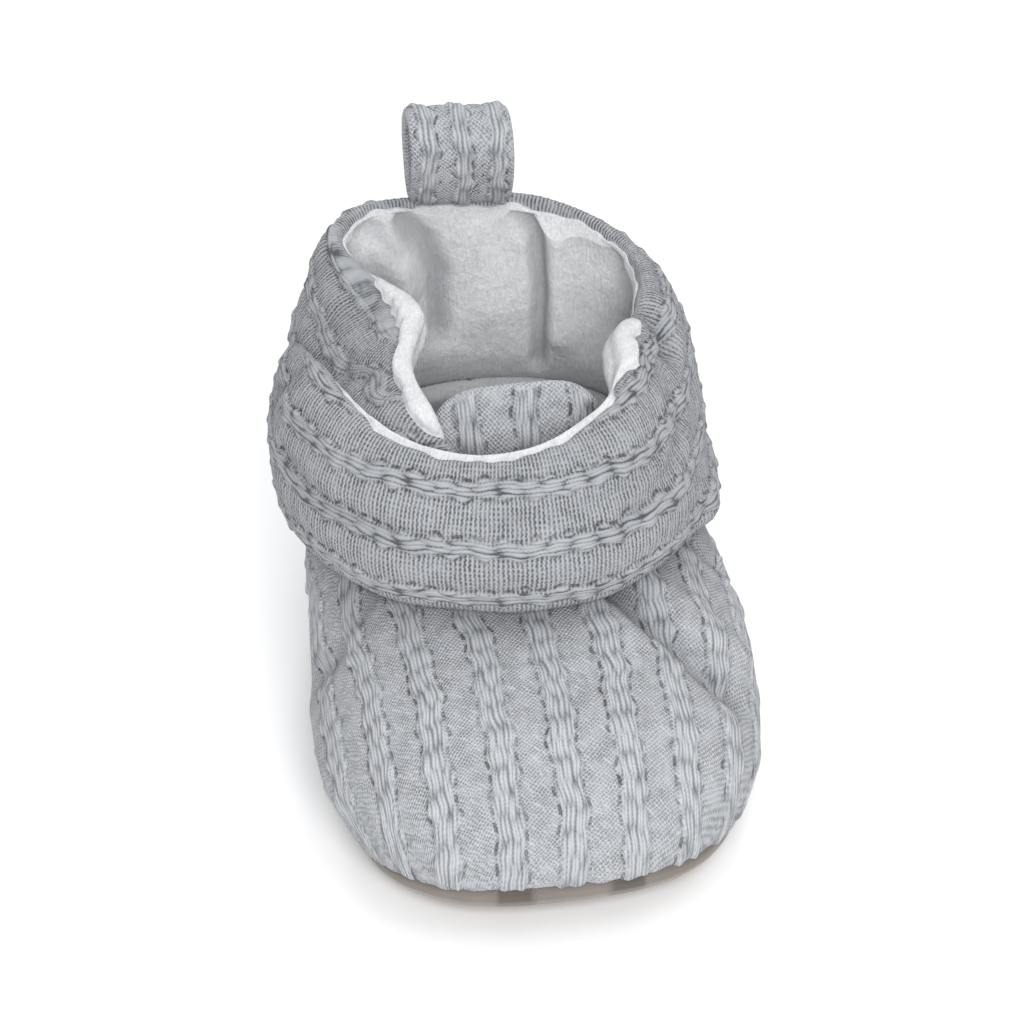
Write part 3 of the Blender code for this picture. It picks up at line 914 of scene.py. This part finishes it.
def make_sole(suede):
    """The suede outsole with its turned-up edge and its grip patches."""
    degrees = np.arange(SOLE_AROUND) * 360 / SOLE_AROUND
    seam, low, _, _ = body_handles(degrees)
    out = seam_outward(degrees)
    run = unit(low - seam)
    flat_edge = seam_plan(degrees) - out * SOLE_FLAT_INSET
    rows = []
    for scale in np.append(np.linspace(0.04, 0.97, SOLE_FLAT_ROWS), 1.0):
        edge = flat_edge * scale
        edge[:, 2] = toe_lift(edge[:, 1])
        rows.append(edge)
    flat_edge = rows.pop()
    end = seam - run * (GAP / 2)
    curve = (flat_edge, flat_edge + out * SOLE_FLAT_INSET * 0.55, end - run * SEAM_HEIGHT * 0.55, end)
    for share in np.linspace(0, 1, SOLE_TURN_ROWS):
        rows.append(cubic(curve, np.full(SOLE_AROUND, share)))
    outer = np.array(rows)
    facing = normals(outer)
    grain = uneven(outer, 51, 18, 3, 8, 0.04)
    turn_rows = np.arange(len(rows))[:, None] - SOLE_FLAT_ROWS
    rim = smooth((turn_rows - 10) / 12) * smooth((SOLE_TURN_ROWS + 0.5 - turn_rows) / 5)
    outside = outer + scaled(facing, grain + rim * 0.9 * MM)
    inner = outer[::-3] - facing[::-3] * SOLE_THICKNESS
    points = np.concatenate((outside, inner))
    points[..., 2] = np.maximum(points[..., 2], 0.0)
    marks = np.zeros(points.shape)
    marks[: len(outside), :, 0] = sole_patches(outer)
    return disc_piece("sole_suede", points, marks, suede, "suede_sole", "outsole")


# The darker patches of the sole: from one to the next across it, from row to row and half their size.
PATCH_STEP = 17.0 * MM
PATCH_ROW_STEP = 0.55 * PATCH_STEP
PATCH_SIZE = (2.9 * MM, 3.6 * MM)


def sole_patches(points):
    """1 on the darker oval patches of the suede, set in a staggered pattern, and 0 between."""
    x, y = points[..., 0], points[..., 1]
    row = np.round(y / PATCH_ROW_STEP)
    shift = np.where(row % 2 == 0, 0.0, PATCH_STEP / 2)
    dx = (x - shift + PATCH_STEP / 2) % PATCH_STEP - PATCH_STEP / 2
    dy = y - row * PATCH_ROW_STEP
    reach = np.sqrt((dx / PATCH_SIZE[0]) ** 2 + (dy / PATCH_SIZE[1]) ** 2)
    return smooth((1.15 - reach) / 0.25)


def footbed_edge(degrees):
    """The line where the footbed's top meets the body's lining."""
    wall = curve_grid(body_handles(degrees), np.linspace(0, 0.5, 60)[:, None])
    wall -= normals(wall) * (BODY_WALL + FOOTBED_CLEAR)
    heights = np.maximum.accumulate(wall[..., 2], axis=0)
    top = SOLE_THICKNESS + GAP + INSOLE_THICKNESS + toe_lift(wall[0, :, 1])
    edge = np.zeros((degrees.size, 3))
    for k in range(degrees.size):
        for axis in (0, 1):
            edge[k, axis] = np.interp(top[k], heights[:, k], wall[:, k, axis])
    return edge


def make_footbed(lining):
    """The padded footbed inside, covered with the brushed lining."""
    degrees = np.arange(FOOTBED_AROUND) * 360 / FOOTBED_AROUND
    foot = seam_plan(degrees) - seam_outward(degrees) * INSOLE_INSET
    edge = footbed_edge(degrees)
    rows = []
    for scale in np.linspace(0.05, 0.985, FOOTBED_LOW_ROWS):
        ring = foot * scale
        rows.append(flat(ring[:, 0], ring[:, 1], SOLE_THICKNESS + GAP + toe_lift(ring[:, 1])))
    for scale in np.linspace(1.0, 0.05, FOOTBED_TOP_ROWS):
        ring = edge * scale
        thick = INSOLE_THICKNESS * (1 + 0.3 * smooth((scale - 0.86) / 0.14))
        rows.append(flat(ring[:, 0], ring[:, 1], SOLE_THICKNESS + GAP + toe_lift(ring[:, 1]) + thick))
    points = np.array(rows)
    lift = uneven(points, 61, 12, 8, 20, 0.12)
    points[FOOTBED_LOW_ROWS:, :, 2] += lift[FOOTBED_LOW_ROWS:]
    marks = np.zeros(points.shape)
    return disc_piece("footbed", points, marks, lining, "brushed_lining", "insole")


def node(tree, kind, inputs=None, **settings):
    """A shader node with its inputs linked or set."""
    made = tree.nodes.new(kind)
    for key, value in settings.items():
        setattr(made, key, value)
    for key, value in (inputs or {}).items():
        if isinstance(value, bpy.types.NodeSocket):
            tree.links.new(value, made.inputs[key])
        else:
            made.inputs[key].default_value = value
    return made


def calc(tree, operation, a, b=0.0, c=0.0):
    """The result of one Math node."""
    return node(tree, "ShaderNodeMath", {0: a, 1: b, 2: c}, operation=operation).outputs[0]


def times(tree, a, b):
    """The product of two values."""
    return calc(tree, "MULTIPLY", a, b)


def times_plus(tree, a, b, c):
    """The product of two values, plus a third."""
    return calc(tree, "MULTIPLY_ADD", a, b, c)


def clamped(tree, value, low=0.0):
    """A value held between this and 1."""
    return node(tree, "ShaderNodeClamp", {"Value": value, "Min": low}).outputs[0]


def wave(tree, kind, place, step):
    """A sine or cosine that repeats after each step."""
    return calc(tree, kind, times(tree, place, 2 * math.pi / step))


def fact(tree, name):
    """The three numbers that a piece keeps at each point under this name."""
    attribute = node(tree, "ShaderNodeAttribute", attribute_name=name)
    return node(tree, "ShaderNodeSeparateXYZ", {0: attribute.outputs["Vector"]}).outputs


def object_place(tree):
    """The place on the object."""
    return node(tree, "ShaderNodeTexCoord").outputs["Object"]


def bumped(tree, shader, height, strength, distance):
    """Give the shader a relief by bump."""
    bump = node(tree, "ShaderNodeBump", {"Height": height, "Strength": strength, "Distance": distance})
    tree.links.new(bump.outputs[0], shader.inputs["Normal"])


def blend(tree, share, first, second):
    """A colour between two, by a share from 0 to 1."""
    made = node(tree, "ShaderNodeMix", data_type="RGBA")
    tree.links.new(share, made.inputs[0])
    for socket, value in ((made.inputs[6], first), (made.inputs[7], second)):
        if isinstance(value, bpy.types.NodeSocket):
            tree.links.new(value, socket)
        else:
            socket.default_value = value
    return made.outputs[2]


def cloth(name, roughness, sheen, sheen_tint):
    """A material with its constant values set, and its tree and shader."""
    material = bpy.data.materials.new(name)
    material.use_nodes = True
    tree = material.node_tree
    shader = tree.nodes["Principled BSDF"]
    shader.inputs["Roughness"].default_value = roughness
    shader.inputs["Specular IOR Level"].default_value = CLOTH_SPECULAR
    shader.inputs["Sheen Weight"].default_value = sheen
    shader.inputs["Sheen Roughness"].default_value = SHEEN_ROUGHNESS
    shader.inputs["Sheen Tint"].default_value = sheen_tint
    return material, tree, shader


def noise(tree, vector, scale, detail=2.0, roughness=0.5):
    """A noise texture's value."""
    inputs = {"Vector": vector, "Scale": scale, "Detail": detail, "Roughness": roughness}
    return node(tree, "ShaderNodeTexNoise", inputs).outputs["Fac"]


CLOTH_SPECULAR = 0.25
SHEEN_ROUGHNESS = 0.45
WHITE = (1.0, 1.0, 1.0, 1.0)
YARN_LIGHT = (0.52, 0.535, 0.56)
YARN_MID = (0.335, 0.347, 0.367)
YARN_DARK = (0.075, 0.08, 0.09, 1.0)
LINING_LIGHT = (0.87, 0.877, 0.89, 1.0)
LINING_MID = (0.62, 0.634, 0.655, 1.0)
# The colour of the shade painted into the lining's folds.
LINING_PAINTED_SHADE = (0.34, 0.35, 0.37, 1.0)
SUEDE_SHEEN = (1.0, 0.93, 0.86, 1.0)
SUEDE_COLOURS = ((0.13, 0.115, 0.102, 1.0), (0.245, 0.217, 0.195, 1.0))
PATCH_COLOURS = ((0.07, 0.06, 0.053, 1.0), (0.14, 0.122, 0.109, 1.0))
PAPER = (0.93, 0.93, 0.93, 1.0)

# The yarns, in millimetres: from pebble to pebble across the ribs and along them, from one cross line
# to the next, and a long yarn's width and length on a rib.
PEBBLE_ACROSS = 0.74
PEBBLE_ALONG = 0.66
CROSS_LINE_STEP = 0.66
FLOAT_WIDTH = 0.62
FLOAT_LENGTH = 3.6

KNIT_BUMP = 0.28 * MM
LINING_BUMP = 0.6 * MM
SUEDE_BUMP = 0.1 * MM


def hole_marks(tree):
    """How much of each point is a small hole, from the dashes beside the ribs."""
    dash, edge, strength = fact(tree, "dashes")
    beat = times_plus(tree, wave(tree, "COSINE", dash, 1.0), 1.4, 0.7)
    off_line = calc(tree, "DIVIDE", edge, 0.27)
    on_line = calc(tree, "SUBTRACT", 1.0, times(tree, off_line, off_line))
    on_line = calc(tree, "MAXIMUM", on_line, 0.0)
    return times(tree, times(tree, on_line, clamped(tree, beat, 0.22)), strength)


def pebbles(tree, place, across, along, weak):
    """The height of the pebbled ground: an uneven lattice of small stitches."""
    jitter = noise(tree, place, 900.0, 1.0)
    dots = wave(tree, "COSINE", times_plus(tree, jitter, 0.7, across), PEBBLE_ACROSS)
    beads = wave(tree, "COSINE", times_plus(tree, jitter, -0.75, along), PEBBLE_ALONG)
    return times_plus(tree, times(tree, dots, beads), weak, 0.5)


def long_yarns(tree, drift, local, along):
    """The height of the long yarns that lie along a rib."""
    strand = node(tree, "ShaderNodeCombineXYZ", {
        0: calc(tree, "DIVIDE", times_plus(tree, drift, 0.8, local), FLOAT_WIDTH),
        1: calc(tree, "DIVIDE", along, FLOAT_LENGTH),
    })
    inputs = {"Vector": strand.outputs[0], "Scale": 1.0, "Randomness": 0.55}
    strokes = node(tree, "ShaderNodeTexVoronoi", inputs, voronoi_dimensions="2D")
    return times_plus(tree, calc(tree, "POWER", strokes.outputs["Distance"], 1.5), -1.7, 0.95)


def knit_material(name, cross_lines, openness, yarn_share):
    """The knit: a pebbled ground, long yarns on the ribs and small holes beside them.

    cross_lines is the share of the ground that is lines across the band in place of pebbles.
    openness is how dark the gaps between its yarns are, more where it is stretched, and yarn_share
    is how light its yarns are against the colours above.
    """
    material, tree, shader = cloth(name, 0.92, 0.15, WHITE)
    across, along, rib = fact(tree, "knit")
    local, shade, _ = fact(tree, "marks")
    hole = hole_marks(tree)
    place = object_place(tree)
    drift = noise(tree, place, 260.0, 1.0)
    weak = noise(tree, place, 420.0, 2.0)
    across = times_plus(tree, drift, 0.7, across)
    along = times_plus(tree, drift, 0.5, along)
    pebble = pebbles(tree, place, across, along, weak)
    lines = wave(tree, "SINE", along, CROSS_LINE_STEP)
    lines = times_plus(tree, lines, times(tree, weak, 1.3), 0.5)
    ground = times_plus(tree, lines, cross_lines, times(tree, pebble, 1 - cross_lines))
    ground = times(tree, ground, calc(tree, "SUBTRACT", 1.0, rib))
    floats = times_plus(tree, long_yarns(tree, drift, local, along), 1.25, -0.2)
    knit_height = times_plus(tree, times_plus(tree, pebble, 0.2, floats), rib, ground)
    height = times_plus(tree, noise(tree, place, 5200.0, 2.0, 0.6), 0.3, knit_height)
    bumped(tree, shader, times_plus(tree, hole, -1.6, height), 1.0, KNIT_BUMP)
    mottle = times_plus(tree, noise(tree, place, 160.0, 3.0), 0.5, -0.35)
    tone = times_plus(tree, rib, -0.2, calc(tree, "ADD", knit_height, mottle))
    mid = tuple(yarn_share * c for c in YARN_MID) + (1.0,)
    light = tuple(yarn_share * c for c in YARN_LIGHT) + (1.0,)
    colour = blend(tree, clamped(tree, tone), mid, light)
    gap = calc(tree, "MAXIMUM", calc(tree, "SUBTRACT", 0.42, knit_height), 0.0)
    # Holes, gaps and the shade painted into folds and under the wrap darken the yarn to YARN_DARK.
    dark = times_plus(tree, hole, 0.8, times_plus(tree, gap, openness, shade))
    colour = blend(tree, clamped(tree, dark), colour, YARN_DARK)
    tree.links.new(colour, shader.inputs["Base Color"])
    return material


def lining_material():
    """The brushed white lining: a short soft nap with faint streaks."""
    material, tree, shader = cloth("brushed_lining", 0.95, 0.55, WHITE)
    place = object_place(tree)
    streaked = node(tree, "ShaderNodeMapping", {"Vector": place, "Scale": (1.0, 1.0, 0.3)}).outputs[0]
    nap = noise(tree, streaked, 2300.0, 5.0, 0.72)
    tuft = noise(tree, place, 560.0, 3.0, 0.6)
    bumped(tree, shader, times_plus(tree, tuft, 0.9, nap), 1.0, LINING_BUMP)
    mottle = noise(tree, place, 240.0, 3.0)
    share = times_plus(tree, nap, 2.6, times_plus(tree, mottle, 1.1, -1.35))
    colour = blend(tree, clamped(tree, share), LINING_MID, LINING_LIGHT)
    # Painted shade in the lining's folds.
    colour = blend(tree, fact(tree, "marks")[1], colour, LINING_PAINTED_SHADE)
    tree.links.new(colour, shader.inputs["Base Color"])
    return material


def suede_material():
    """The taupe suede with a short nap, soft clouds and darker patches."""
    material, tree, shader = cloth("sole_suede", 0.96, 0.35, SUEDE_SHEEN)
    place = object_place(tree)
    nap = noise(tree, place, 3600.0, 3.0, 0.65)
    cloud = noise(tree, place, 190.0, 3.0)
    bumped(tree, shader, times_plus(tree, cloud, 0.6, nap), 0.7, SUEDE_BUMP)
    share = times_plus(tree, nap, 0.5, times(tree, cloud, 0.5))
    light = blend(tree, share, *SUEDE_COLOURS)
    deep = blend(tree, share, *PATCH_COLOURS)
    colour = blend(tree, fact(tree, "marks")[0], light, deep)
    tree.links.new(colour, shader.inputs["Base Color"])
    return material


def floor_material():
    """Plain pale paper for the floor."""
    material, _, shader = cloth("floor_paper", 0.9, 0.0, WHITE)
    shader.inputs["Base Color"].default_value = PAPER
    return material


# The floor lies this little below the sole, so that the two don't share a plane.
FLOOR_GAP = 0.03 * MM
FLOOR_HALF = 4.0


def make_floor():
    """A plain pale floor."""
    signs = ((-1, -1), (1, -1), (1, 1), (-1, 1))
    corners = [(x * FLOOR_HALF, y * FLOOR_HALF, -FLOOR_GAP) for x, y in signs]
    data = bpy.data.meshes.new("floor")
    data.from_pydata(corners, [], [(0, 1, 2, 3)])
    data.materials.append(floor_material())
    floor = add_object("floor", data)


# The photograph's viewpoint: direction, distance and what it looks at.
VIEW_AZIMUTH = -10
VIEW_ELEVATION = 38
VIEW_DISTANCE = 0.65
VIEW_ANCHOR = Vector((0, 0, 35 * MM))
VIEW_AIM = Vector((0, 4.3 * MM, 40.5 * MM))
LENS = 146.0
SENSOR = 36.0


def aimed(made, place, aim):
    """Put a camera or light at a place and turn it to what it looks at."""
    made.location = place
    made.rotation_euler = (Vector(aim) - Vector(place)).to_track_quat("-Z", "Y").to_euler()


def make_camera():
    """The camera at the photograph's angle, closer in on the one shoe."""
    azimuth, elevation = math.radians(VIEW_AZIMUTH), math.radians(VIEW_ELEVATION)
    away = Vector((
        math.sin(azimuth) * math.cos(elevation),
        -math.cos(azimuth) * math.cos(elevation),
        math.sin(elevation),
    ))
    data = bpy.data.cameras.new("camera")
    data.lens = LENS
    data.sensor_width = SENSOR
    camera = add_object("camera", data)
    aimed(camera, VIEW_ANCHOR + away * VIEW_DISTANCE, VIEW_AIM)
    bpy.context.scene.camera = camera


# The studio's square lights: name, place, what they shine at, size in metres, power in watts and
# colour. The key light is in front, the others soften the shadows and whiten the floor behind.
LIGHTS = (
    ("key", (-0.05, -0.53, 0.42), (0, 0, 0.04), 0.28, 3.7, (1.0, 0.998, 0.995)),
    ("overhead", (0.22, -0.05, 0.68), (0, 0, 0.04), 0.45, 1.1, (1.0, 1.0, 1.0)),
    ("backdrop", (0.0, 0.8, 0.8), (0.0, 0.6, 0.0), 0.7, 4.0, (1.0, 1.0, 1.0)),
)
SURROUND = (0.97, 0.98, 1.0, 1.0)
SURROUND_STRENGTH = 0.58


def make_studio():
    """The soft lights and a pale surround."""
    for name, place, aim, size, power, colour in LIGHTS:
        data = bpy.data.lights.new(name, "AREA")
        data.size = size
        data.energy = power
        data.color = colour
        aimed(add_object(name, data), place, aim)
    bpy.context.scene.view_settings.view_transform = "Standard"
    world = bpy.data.worlds.new("surround")
    world.use_nodes = True
    background = world.node_tree.nodes["Background"]
    background.inputs["Color"].default_value = SURROUND
    background.inputs["Strength"].default_value = SURROUND_STRENGTH
    bpy.context.scene.world = world


make_camera()
make_floor()
make_studio()

body_cloth = knit_material("body_knit", 0.0, 0.9, 0.97)
wrap_cloth = knit_material("wrap_knit", 0.55, 2.2, 0.77)
lining_cloth = lining_material()

make_body(body_cloth, lining_cloth)
make_wrap(wrap_cloth, lining_cloth)
make_tongue(body_cloth, lining_cloth)
make_loop(body_cloth)
make_sole(suede_material())
make_footbed(lining_cloth)
